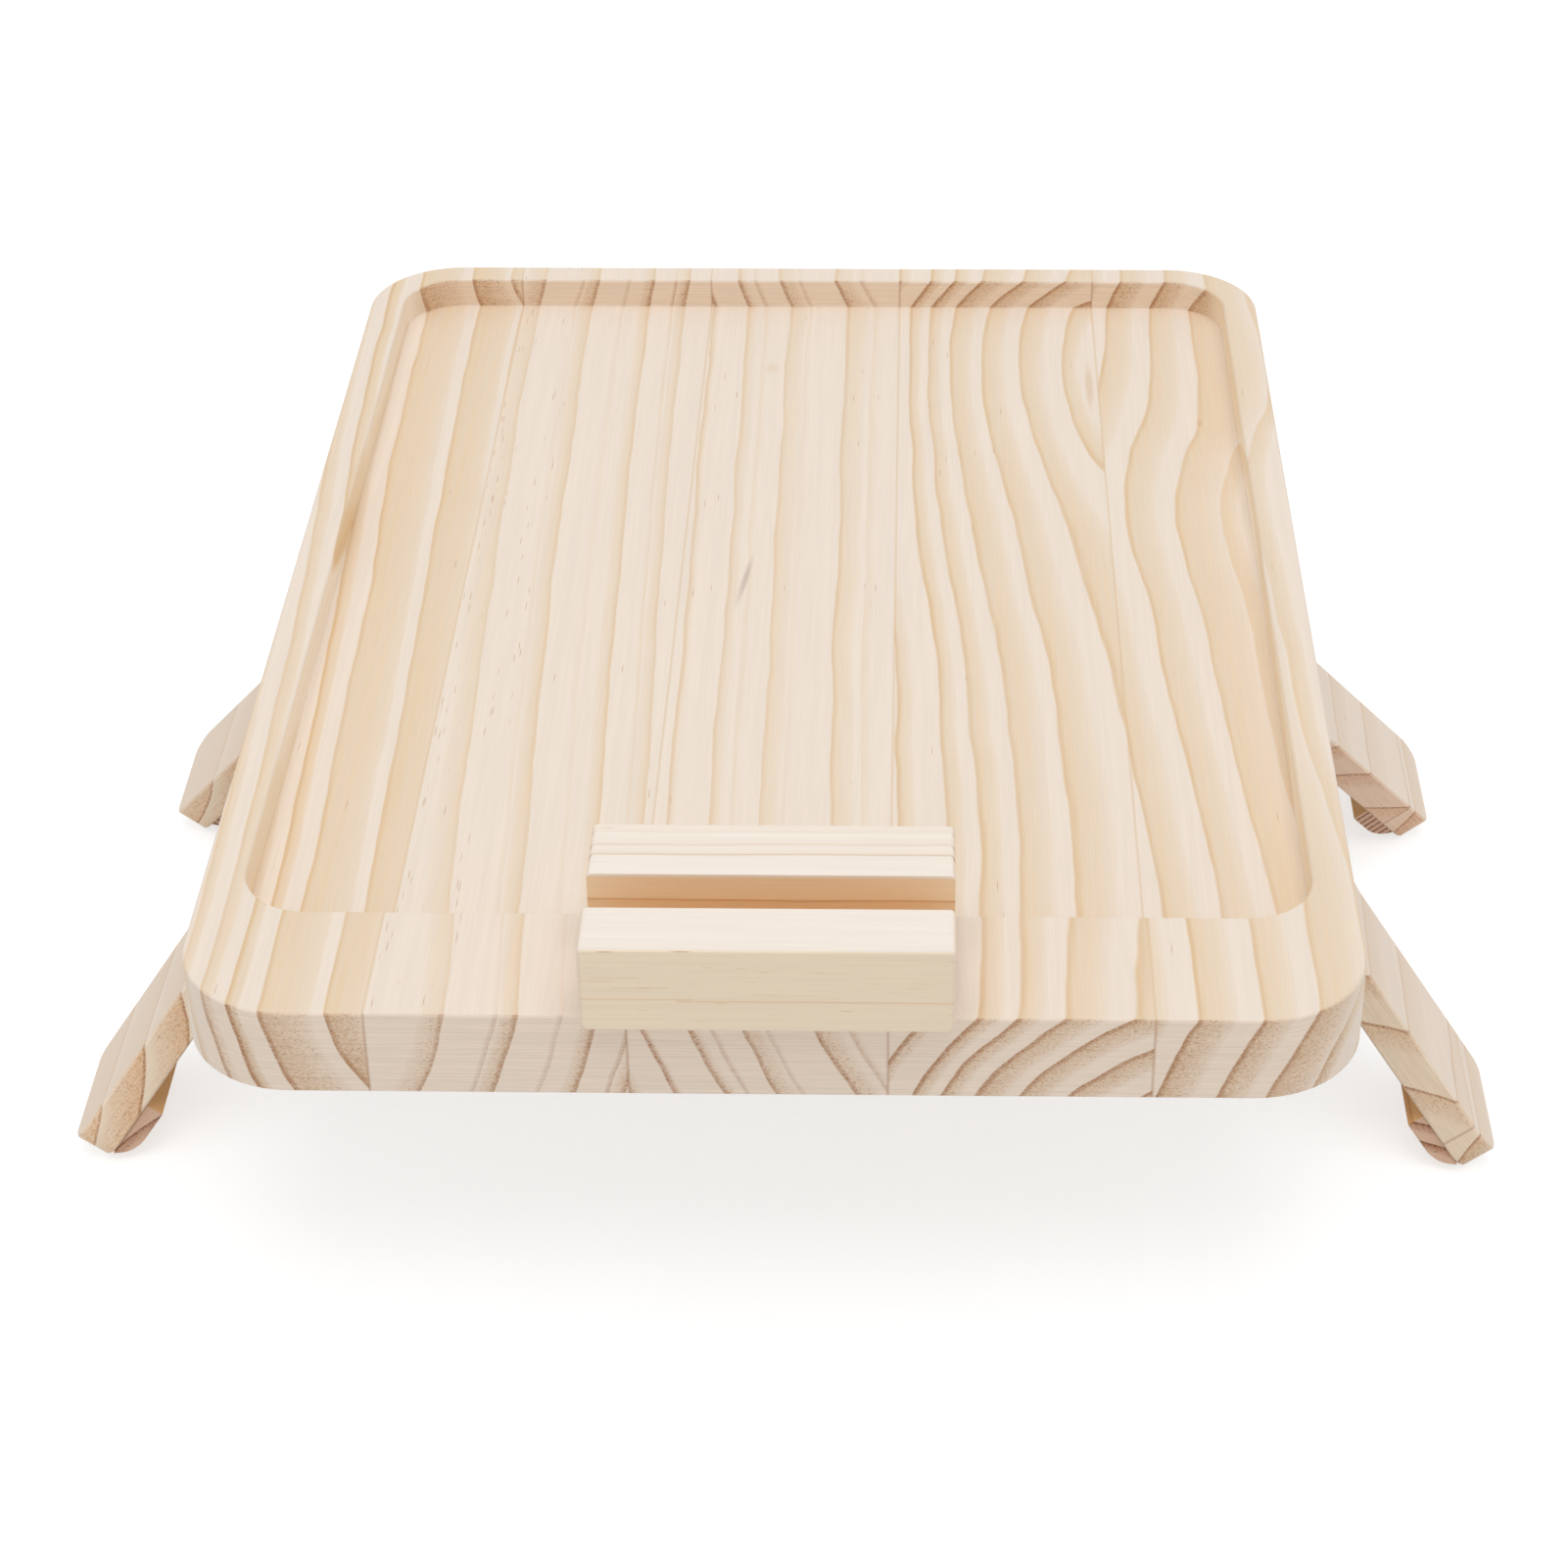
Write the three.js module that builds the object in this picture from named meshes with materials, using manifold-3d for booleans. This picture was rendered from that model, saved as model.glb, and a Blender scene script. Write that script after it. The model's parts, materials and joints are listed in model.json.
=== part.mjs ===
// A sofa arm tray table in pine: an edge-glued tray with a milled recess, two hinged side
// wings with splayed legs and grip blocks, and a phone holder that turns on a screw.
// Millimetres, +Z up. The origin is on the floor, under the middle of the whole outline.
import * as THREE from "three";
import { mergeVertices } from "three/addons/utils/BufferGeometryUtils.js";
import Module from "manifold-3d";

const wasm = await Module();
wasm.setup();

// Tray
const trayWidth = 300;
const trayDepth = 420;
const trayThickness = 25;
const trayCornerRadius = 29;
const recessDepth = 10;
const recessCornerRadius = 18;
const sideRim = 11;
const backRim = 10;
const frontRim = 43;
const recessEase = 0.6;
// Glue joints between the five staves, as shares of the width from the left edge.
const jointShares = [0.165, 0.382, 0.598, 0.818];

// Wings: spans run along the hinge line, drops run down the board from the tray's underside.
const wingThickness = 10.4;
const wingInset = 6;
const wingOffset = 52.6;
const wingTopSpan = 142;
const wingFootSpan = 204;
const wingDrop = 84.4;
const cutTopSpan = 73;
const cutFootSpan = 120;
const cutTopDrop = 24;
const cutRadius = 8;
const toeRadius = 5.8;
const heelRadius = 5.5;
const wingTopRadius = 3;
const splayDegrees = 52;

// The chamfer that eases the outer edges of the tray and the wings
const easedEdge = 0.6;

// Grip blocks on the inside of the four leg ends
const blockThickness = 5;
const blockTopDrop = 65;
const blockFootDrop = 80.6;
const blockSetback = 1.5;
const blockTaper = 3.5;
const blockRadius = 8;

// Butt hinges
const hingeLength = 40;
const hingeSpacing = 88;
const knuckleRadius = 3;
const knuckleCount = 5;
const leafWidth = 19;
const leafThickness = 1.2;
const leafRadius = 2.5;
const pinRadius = 1.4;
const pinHeadRadius = 2.3;
const pinHeadLength = 0.9;

// Countersunk wood screws
const screwLength = 9;
const screwRadius = 1.4;
const screwHeadRadius = 2.9;
const screwSpacing = 24;
const screwReach = 12.5;
const screwTip = 2;
const crossLength = 3.2;
const crossWidth = 0.7;
const crossDepth = 0.8;

// Phone holder
const holderLength = 91.8;
const frontBar = 17;
const slotWidth = 14;
const rearBar = 22.4;
const holderHeight = 25.4;
const slotDepth = 17;
const holderTopRadius = 1.6;
const holderFootRadius = 2.6;
const holderEase = 0.9;
const pivotFromFront = 19.3;

// Pivot: a spacer washer under the holder and a pan head screw from below
const spacerRadius = 9;
const spacerThickness = 0.8;
const pivotRadius = 2;
const pivotBite = 6;
const pivotHeadRadius = 4;
const pivotHeadHeight = 2.6;
const pivotCrossLength = 4;
const pivotCrossWidth = 1;
const pivotCrossDepth = 1.5;
const pivotWasherRadius = 5.5;
const pivotWasherThickness = 0.8;
const counterboreDepth = 8;

// Clearances, the overrun of every cut, and the faces on round forms
const seatGap = 0.3;
const runningGap = 0.2;
const overrun = 2;
const cornerSteps = 7;
const smallSteps = 4;
const roundFaces = 20;
const screwFaces = 14;

// Worked out from the sizes above
const splay = THREE.MathUtils.degToRad(splayDegrees);
const pinDrop = knuckleRadius + seatGap;
const innerFace = pinDrop;
const outerFace = innerFace + wingThickness;
// How far the pin lies inboard of the line where the wing's outer face meets the underside.
const pinInboard = (outerFace - pinDrop * Math.cos(splay)) / Math.sin(splay);
const pinX = trayWidth / 2 - wingInset - pinInboard;
// Distance down the board, seen from the pin, at which the drops start.
const dropStart = pinInboard * Math.cos(splay) - pinDrop * Math.sin(splay);
const footReach = dropStart + wingDrop;
const tipLift = easedEdge * Math.min(Math.sin(splay), Math.cos(splay));
const underside =
  pinDrop + footReach * Math.sin(splay) - innerFace * Math.cos(splay) - tipLift;
const trayTop = underside + trayThickness;
const holderDepth = frontBar + slotWidth + rearBar;
const pivotY = pivotFromFront - trayDepth / 2;
const holderFront = pivotY - holderDepth / 2;
const middleY = (Math.min(holderFront, -trayDepth / 2) + trayDepth / 2) / 2;
const knuckleLength = hingeLength / knuckleCount;
const leafStart = knuckleRadius + seatGap;
const pivotGrip = trayThickness - counterboreDepth;
const pivotLength = pivotGrip + spacerThickness + pivotBite - pivotWasherThickness;

// A three.js geometry as a solid for cutting and joining.
function solid(geometry) {
  const bare = geometry.clone();
  bare.deleteAttribute("normal");
  bare.deleteAttribute("uv");
  const merged = mergeVertices(bare);
  return new wasm.Manifold(
    new wasm.Mesh({
      numProp: 3,
      vertProperties: merged.attributes.position.array,
      triVerts: new Uint32Array(merged.index.array),
    }),
  );
}

// A cut or joined solid as a three.js geometry again, with flat faces.
function geometryOf(body) {
  const mesh = body.getMesh();
  const geometry = new THREE.BufferGeometry();
  geometry.setAttribute("position", new THREE.BufferAttribute(mesh.vertProperties, mesh.numProp));
  geometry.setIndex(new THREE.BufferAttribute(mesh.triVerts, 1));
  const flat = geometry.toNonIndexed();
  flat.computeVertexNormals();
  return flat;
}

// A closed outline through corners [x, y, radius], each corner rounded by a tangent arc.
function roundedShape(corners) {
  const shape = new THREE.Shape();
  corners.forEach(([x, y, radius], i) => {
    const corner = new THREE.Vector2(x, y);
    const [px, py] = corners.at(i - 1);
    const [nx, ny] = corners[(i + 1) % corners.length];
    const before = new THREE.Vector2(px, py).sub(corner).normalize();
    const after = new THREE.Vector2(nx, ny).sub(corner).normalize();
    const half = Math.acos(THREE.MathUtils.clamp(before.dot(after), -1, 1)) / 2;
    const start = corner.clone().addScaledVector(before, radius / Math.tan(half));
    const end = corner.clone().addScaledVector(after, radius / Math.tan(half));
    const middle = before.clone().add(after).normalize();
    const centre = corner.clone().addScaledVector(middle, radius / Math.sin(half));
    const from = start.clone().sub(centre).angle();
    const to = end.clone().sub(centre).angle();
    const clockwise = before.cross(after) > 0;
    if (i === 0) shape.moveTo(start.x, start.y);
    else shape.lineTo(start.x, start.y);
    if (radius > 0) shape.absarc(centre.x, centre.y, radius, from, to, clockwise);
  });
  shape.closePath();
  return shape;
}

// A prism standing on the XY plane from height low to height high. A chamfer can ease its
// rims, and its sides stand outside the shape by the growth.
function prism(shape, low, high, steps, ease = 0, growth = 0) {
  const options = {
    depth: high - low - 2 * ease,
    bevelEnabled: ease > 0,
    bevelThickness: ease,
    bevelSize: ease,
    bevelOffset: growth - ease,
    bevelSegments: 1,
    curveSegments: steps,
  };
  return new THREE.ExtrudeGeometry(shape, options).translate(0, 0, low + ease);
}

// A prism that runs along Y, from a shape drawn in X and Z.
function prismAlongY(shape, from, to, steps, ease = 0) {
  return prism(shape, -to, -from, steps, ease).rotateX(Math.PI / 2);
}

// A block between two corners.
function block(x0, x1, y0, y1, z0, z1) {
  const box = new THREE.BoxGeometry(x1 - x0, y1 - y0, z1 - z0);
  return box.translate((x0 + x1) / 2, (y0 + y1) / 2, (z0 + z1) / 2);
}

// A round form about the Z axis from its profile of [radius, height], listed upwards.
function turned(profile, faces) {
  const points = profile.map(([radius, height]) => new THREE.Vector2(radius, height));
  return new THREE.LatheGeometry(points, faces).rotateX(Math.PI / 2);
}

// A plain round rod about the Z axis between two heights.
function rod(radius, low, high, faces) {
  return turned([[0, low], [radius, low], [radius, high], [0, high]], faces);
}

function rectangleCorners(x0, x1, y0, y1, radius) {
  return [[x0, y0, radius], [x1, y0, radius], [x1, y1, radius], [x0, y1, radius]];
}

// Where the hinges sit along the wing, and the screws on one leaf.
const hingePlaces = [-hingeSpacing / 2, hingeSpacing / 2];
const screwPlaces = [-screwSpacing / 2, screwSpacing / 2];

// The screw stands on its head's flat face at height 0 and points up.
function woodScrew(extra) {
  const shank = screwRadius + extra;
  const end = screwLength + extra;
  return turned(
    [
      [0, 0],
      [screwHeadRadius + extra, 0],
      [shank, leafThickness],
      [shank, end - screwTip],
      [0, end],
    ],
    screwFaces,
  );
}

// A cross-shaped cut about the Z axis between two heights, for a screw's drive.
function crossCut(length, width, low, high) {
  const arm = solid(block(-length / 2, length / 2, -width / 2, width / 2, low, high));
  const quarterTurn = 90;
  return arm.add(arm.rotate([0, 0, quarterTurn]));
}

function drivenScrew() {
  const drive = crossCut(crossLength, crossWidth, -overrun, crossDepth);
  return geometryOf(solid(woodScrew(0)).subtract(drive));
}

// The round hole that a screw takes in the wood behind its leaf.
function screwHole() {
  const start = knuckleRadius;
  const end = knuckleRadius - leafThickness + screwLength + seatGap;
  return rod(screwRadius + seatGap, start - overrun, end, screwFaces);
}

// One leaf about a pin on the Y axis: a plate along +X and its share of the knuckles.
function hingeLeaf(knuckles) {
  const low = knuckleRadius - leafThickness;
  const half = hingeLength / 2;
  const plateShape = roundedShape([
    [leafStart, -half, 0],
    [leafWidth, -half, leafRadius],
    [leafWidth, half, leafRadius],
    [leafStart, half, 0],
  ]);
  let leaf = solid(prism(plateShape, low, knuckleRadius, smallSteps));
  knuckles.forEach((k) => {
    const start = -half + k * knuckleLength + (k > 0 ? seatGap / 2 : 0);
    const end = -half + (k + 1) * knuckleLength - (k < knuckleCount - 1 ? seatGap / 2 : 0);
    const barrel = new THREE.CylinderGeometry(knuckleRadius, knuckleRadius, end - start, roundFaces);
    barrel.translate(0, (start + end) / 2, 0);
    leaf = leaf.add(solid(barrel)).add(solid(block(0, leafStart, start, end, low, knuckleRadius)));
  });
  const bore = pinRadius + runningGap;
  const long = hingeLength + 2 * overrun;
  leaf = leaf.subtract(solid(new THREE.CylinderGeometry(bore, bore, long, roundFaces)));
  screwPlaces.forEach((y) => {
    const cut = solid(woodScrew(seatGap).translate(screwReach, y, low));
    const mouth = solid(rod(screwHeadRadius + seatGap, low - overrun, low, screwFaces));
    leaf = leaf.subtract(cut).subtract(mouth.translate([screwReach, y, 0]));
  });
  return geometryOf(leaf);
}

// The hinge pin with a head at both ends, along Y.
function hingePin() {
  const half = hingeLength / 2 + runningGap;
  const end = half + pinHeadLength;
  const crown = pinHeadRadius / 2;
  const pin = turned(
    [
      [0, -end], [crown, -end], [pinHeadRadius, -half], [pinRadius, -half],
      [pinRadius, half], [pinHeadRadius, half], [crown, end], [0, end],
    ],
    roundFaces,
  );
  return pin.rotateX(-Math.PI / 2);
}

// The tray before it is parted into staves: outline, recess, pivot hole and screw holes.
function trayBody() {
  const x = trayWidth / 2;
  const y = trayDepth / 2;
  const outline = roundedShape(rectangleCorners(-x, x, -y, y, trayCornerRadius));
  const floor = roundedShape(
    rectangleCorners(-x + sideRim, x - sideRim, -y + frontRim, y - backRim, recessCornerRadius),
  );
  let tray = solid(prism(outline, -trayThickness, 0, cornerSteps, easedEdge));
  tray = tray.subtract(solid(prism(floor, -recessDepth, overrun, cornerSteps)));
  const flareTop = overrun + recessEase;
  const flare = prism(floor, -recessEase, flareTop, cornerSteps, recessEase, recessEase);
  tray = tray.subtract(solid(flare));
  const shaft = rod(pivotRadius + seatGap, -trayThickness - overrun, overrun, roundFaces);
  const socket = rod(
    pivotWasherRadius + seatGap, -trayThickness - overrun, counterboreDepth - trayThickness, roundFaces,
  );
  tray = tray.subtract(solid(shaft.translate(0, pivotY, 0)));
  tray = tray.subtract(solid(socket.translate(0, pivotY, 0)));
  [-1, 1].forEach((side) => {
    hingePlaces.forEach((middle) => {
      screwPlaces.forEach((spot) => {
        const hole = screwHole().translate(
          side * (pinX - screwReach), middle + spot - wingOffset, -trayThickness - pinDrop,
        );
        tray = tray.subtract(solid(hole));
      });
    });
  });
  return tray;
}

// The staves, from left to right, parted at the glue joints.
function staveGeometries() {
  const tray = trayBody();
  const edges = [-overrun, ...jointShares.map((share) => share * trayWidth), trayWidth + overrun];
  return edges.slice(1).map((right, i) => {
    const x0 = edges[i] - trayWidth / 2;
    const x1 = right - trayWidth / 2;
    const strip = block(x0, x1, -trayDepth, trayDepth, -trayThickness - overrun, overrun);
    return geometryOf(tray.intersect(solid(strip)));
  });
}

// Half the wing's span and half the cut-out's span at a distance down the board.
function halfSpan(drop) {
  return THREE.MathUtils.lerp(wingTopSpan, wingFootSpan, drop / wingDrop) / 2;
}
function halfCut(drop) {
  return THREE.MathUtils.mapLinear(drop, cutTopDrop, wingDrop, cutTopSpan, cutFootSpan) / 2;
}

// The wing about its pin: +X down the board, +Z out through its outer face.
// Its top end is cut level with the tray's underside, which stops the splay.
function wing() {
  const top = -dropStart;
  const half = [
    [top, halfSpan(top), wingTopRadius],
    [wingDrop, halfSpan(wingDrop), toeRadius],
    [wingDrop, halfCut(wingDrop), heelRadius],
    [cutTopDrop, halfCut(cutTopDrop), cutRadius],
  ];
  const mirrored = half.map(([drop, y, radius]) => [drop, -y, radius]).reverse();
  const corners = [...half, ...mirrored];
  const outline = roundedShape(corners.map(([drop, y, radius]) => [dropStart + drop, y, radius]));
  let board = solid(prism(outline, innerFace, outerFace, cornerSteps, easedEdge));
  const bevel = block(-trayWidth, trayWidth, -trayDepth, trayDepth, knuckleRadius, trayWidth);
  board = board.subtract(solid(bevel.rotateY(-splay)));
  hingePlaces.forEach((middle) => {
    screwPlaces.forEach((spot) => {
      board = board.subtract(solid(screwHole().translate(screwReach, middle + spot, 0)));
    });
  });
  return geometryOf(board);
}

// A grip block on the leg at +Y, in the wing's own frame, with its foot tapered and rounded.
function gripBlock() {
  const edge = (drop, y) => [dropStart + drop, y, 0];
  const plan = roundedShape([
    edge(blockTopDrop, halfCut(blockTopDrop) + blockSetback),
    edge(blockFootDrop, halfCut(blockFootDrop) + blockSetback),
    edge(blockFootDrop, halfSpan(blockFootDrop) - blockSetback),
    edge(blockTopDrop, halfSpan(blockTopDrop) - blockSetback),
  ]);
  const face = innerFace - seatGap;
  const back = face - blockThickness;
  const section = roundedShape([
    [dropStart + blockTopDrop, back, 0],
    [dropStart + blockFootDrop - blockTaper, back, blockRadius],
    [dropStart + blockFootDrop, face, 0],
    [dropStart + blockTopDrop, face, 0],
  ]);
  const plate = solid(prism(plan, back, face, smallSteps));
  const span = wingFootSpan / 2 + overrun;
  return geometryOf(plate.intersect(solid(prismAlongY(section, -span, span, smallSteps))));
}

// The phone holder stands on Z 0 with its pivot on the Z axis: one bar with a milled slot.
function phoneHolder() {
  const x = holderLength / 2;
  const front = -holderDepth / 2;
  const face = roundedShape([
    [-x, 0, holderFootRadius],
    [x, 0, holderFootRadius],
    [x, holderHeight, holderTopRadius],
    [-x, holderHeight, holderTopRadius],
  ]);
  const bar = solid(prismAlongY(face, front, -front, smallSteps, holderEase));
  const slot = block(
    -x - overrun, x + overrun,
    front + frontBar, front + frontBar + slotWidth,
    holderHeight - slotDepth, holderHeight + overrun,
  );
  const pilot = rod(pivotRadius + seatGap, -overrun, pivotBite + seatGap, roundFaces);
  return geometryOf(bar.subtract(solid(slot)).subtract(solid(pilot)));
}

function washer(radius, thickness, faces) {
  const ring = solid(rod(radius, 0, thickness, faces));
  const hole = rod(pivotRadius + runningGap, -overrun, thickness + overrun, faces);
  return geometryOf(ring.subtract(solid(hole)));
}

// The pivot screw: a domed pan head below height 0, the shank above it.
function pivotScrew() {
  const domeShare = 0.55;
  const shoulderShare = 0.35;
  const screw = turned(
    [
      [0, -pivotHeadHeight],
      [pivotHeadRadius * domeShare, -pivotHeadHeight],
      [pivotHeadRadius, -pivotHeadHeight * shoulderShare],
      [pivotHeadRadius, 0],
      [pivotRadius, 0],
      [pivotRadius, pivotLength - pivotRadius],
      [0, pivotLength],
    ],
    roundFaces,
  );
  const drive = crossCut(
    pivotCrossLength, pivotCrossWidth, -pivotHeadHeight - overrun, pivotCrossDepth - pivotHeadHeight,
  );
  return geometryOf(solid(screw).subtract(drive));
}

function wood(colour) {
  return new THREE.MeshStandardMaterial({ color: colour, roughness: 0.62, metalness: 0 });
}
function steel() {
  return new THREE.MeshStandardMaterial({ color: "#c2c3c4", roughness: 0.34, metalness: 1 });
}

function place(parent, name, geometry, material, x, y, z) {
  const mesh = new THREE.Mesh(geometry, material);
  mesh.name = name;
  mesh.position.set(x, y, z);
  parent.add(mesh);
  return mesh;
}

const screwGeometry = drivenScrew();
const pinGeometry = hingePin();
const outerKnuckles = hingeLeaf([0, 2, 4]);
const innerKnuckles = hingeLeaf([1, 3]);
const wingGeometry = wing();
const blockGeometry = gripBlock();
const headHeight = knuckleRadius - leafThickness;

// Two screws through one leaf.
function addScrews(parent, name, y) {
  screwPlaces.forEach((spot, i) => {
    place(parent, `${name}_${i + 1}`, screwGeometry, steel(), screwReach, y + spot, headHeight);
  });
}

// One side: hinges under the tray, and the wing with its leaves and blocks in a turned group.
function addSide(tray, side, turn) {
  const base = new THREE.Group();
  base.position.set(0, -wingOffset, -trayThickness);
  base.rotation.z = turn;
  tray.add(base);
  const swing = new THREE.Group();
  swing.position.set(pinX, 0, -pinDrop);
  swing.rotation.y = splay;
  base.add(swing);
  place(swing, `${side}_wing`, wingGeometry, wood("#e6d8c8"), 0, 0, 0);
  // Seen in the side's own turned group, the front end is at -Y on the right and +Y on the left.
  hingePlaces.forEach((y) => {
    const end = y < 0 === (turn === 0) ? "front" : "rear";
    const name = `${side}_${end}`;
    const fixed = new THREE.Group();
    fixed.position.set(pinX, y, -pinDrop);
    fixed.rotation.z = Math.PI;
    base.add(fixed);
    place(fixed, `${name}_hinge_tray_leaf`, outerKnuckles, steel(), 0, 0, 0);
    place(fixed, `${name}_hinge_pin`, pinGeometry, steel(), 0, 0, 0);
    addScrews(fixed, `${name}_tray_screw`, 0);
    place(swing, `${name}_hinge_wing_leaf`, innerKnuckles, steel(), 0, y, 0);
    addScrews(swing, `${name}_wing_screw`, y);
    const grip = place(swing, `${name}_grip_block`, blockGeometry, wood("#c79a78"), 0, 0, 0);
    if (y < 0) {
      grip.geometry = geometryOf(solid(blockGeometry).mirror([0, 1, 0]));
    }
  });
}

const part = new THREE.Group();
const tray = new THREE.Group();
tray.position.set(0, -middleY, trayTop);
part.add(tray);

const staveColours = ["#ead7bf", "#f0e1cd", "#ecdac4", "#ead4b8", "#efdfca"];
staveGeometries().forEach((geometry, i) => {
  place(tray, `tray_stave_${i + 1}`, geometry, wood(staveColours[i]), 0, 0, 0);
});
addSide(tray, "right", 0);
addSide(tray, "left", Math.PI);

const spacer = washer(spacerRadius, spacerThickness, roundFaces);
place(tray, "holder_spacer_washer", spacer, steel(), 0, pivotY, 0);
place(tray, "phone_holder", phoneHolder(), wood("#f1e9de"), 0, pivotY, spacerThickness);
const headSeat = counterboreDepth - trayThickness;
const smallWasher = washer(pivotWasherRadius, pivotWasherThickness, roundFaces);
place(tray, "pivot_screw_washer", smallWasher, steel(), 0, pivotY, headSeat - pivotWasherThickness);
place(tray, "pivot_screw", pivotScrew(), steel(), 0, pivotY, headSeat - pivotWasherThickness);

export default part;
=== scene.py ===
# The looks of a pine sofa arm tray table: solid wood with its own growth rings in every board,
# zinc plated hinges and screws, a pale floor, soft light and the camera. Metres, +Z up.
import json
import math
import bmesh
import bpy
from mathutils import Euler, Matrix, Vector

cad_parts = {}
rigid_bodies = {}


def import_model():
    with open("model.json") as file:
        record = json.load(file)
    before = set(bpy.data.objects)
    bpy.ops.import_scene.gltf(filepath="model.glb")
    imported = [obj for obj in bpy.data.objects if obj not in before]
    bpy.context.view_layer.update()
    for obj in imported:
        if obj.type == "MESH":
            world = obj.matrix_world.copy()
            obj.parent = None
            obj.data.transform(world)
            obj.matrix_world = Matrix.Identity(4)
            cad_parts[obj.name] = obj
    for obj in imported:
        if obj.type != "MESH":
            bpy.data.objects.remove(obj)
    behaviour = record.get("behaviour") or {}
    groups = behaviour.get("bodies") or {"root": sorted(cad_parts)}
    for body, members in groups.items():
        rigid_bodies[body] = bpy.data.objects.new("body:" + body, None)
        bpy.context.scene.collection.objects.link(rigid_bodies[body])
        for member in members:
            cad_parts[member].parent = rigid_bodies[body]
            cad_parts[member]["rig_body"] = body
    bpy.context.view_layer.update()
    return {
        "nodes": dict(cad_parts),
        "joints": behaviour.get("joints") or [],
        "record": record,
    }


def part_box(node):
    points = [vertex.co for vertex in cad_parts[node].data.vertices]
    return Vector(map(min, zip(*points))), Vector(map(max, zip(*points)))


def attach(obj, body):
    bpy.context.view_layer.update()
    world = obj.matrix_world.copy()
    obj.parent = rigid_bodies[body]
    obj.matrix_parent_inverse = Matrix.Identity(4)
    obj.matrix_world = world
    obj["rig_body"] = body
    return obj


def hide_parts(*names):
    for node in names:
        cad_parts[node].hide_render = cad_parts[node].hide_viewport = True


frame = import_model()

MM = 0.001
PER_METRE = 1000.0
RECORD = frame["record"]
NODES = frame["nodes"]

# The photograph's camera, with places from the middle of the tray's top face.
IMAGE_SIZE = 1601
SENSOR = 36.0
FOCAL_PIXELS = 3562.64
CENTRE_PIXEL = 867.84
CAMERA_PLACE = Vector((0.03540, -0.88843, 0.53079))
CAMERA_PITCH = 34.20
CAMERA_YAW = 1.27
CAMERA_ROLL = -0.34
CAMERA_CLIP = 0.01

# The tray's own frame: the middle of its top face, from the stave that runs down its middle.
LOWEST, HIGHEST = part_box("tray_stave_3")
TRAY_ORIGIN = Vector((0, (LOWEST.y + HIGHEST.y) / 2, HIGHEST.z))


def srgb(red, green, blue):
    """A colour written in 0 to 255 as the linear one that shaders take."""
    def linear(v):
        c = v / 255
        return c / 12.92 if c <= 0.04045 else ((c + 0.055) / 1.055) ** 2.4
    return (linear(red), linear(green), linear(blue), 1.0)


def grey(level):
    """A grey that is already linear."""
    return (level, level, level, 1.0)


WHITE = grey(1.0)


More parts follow.
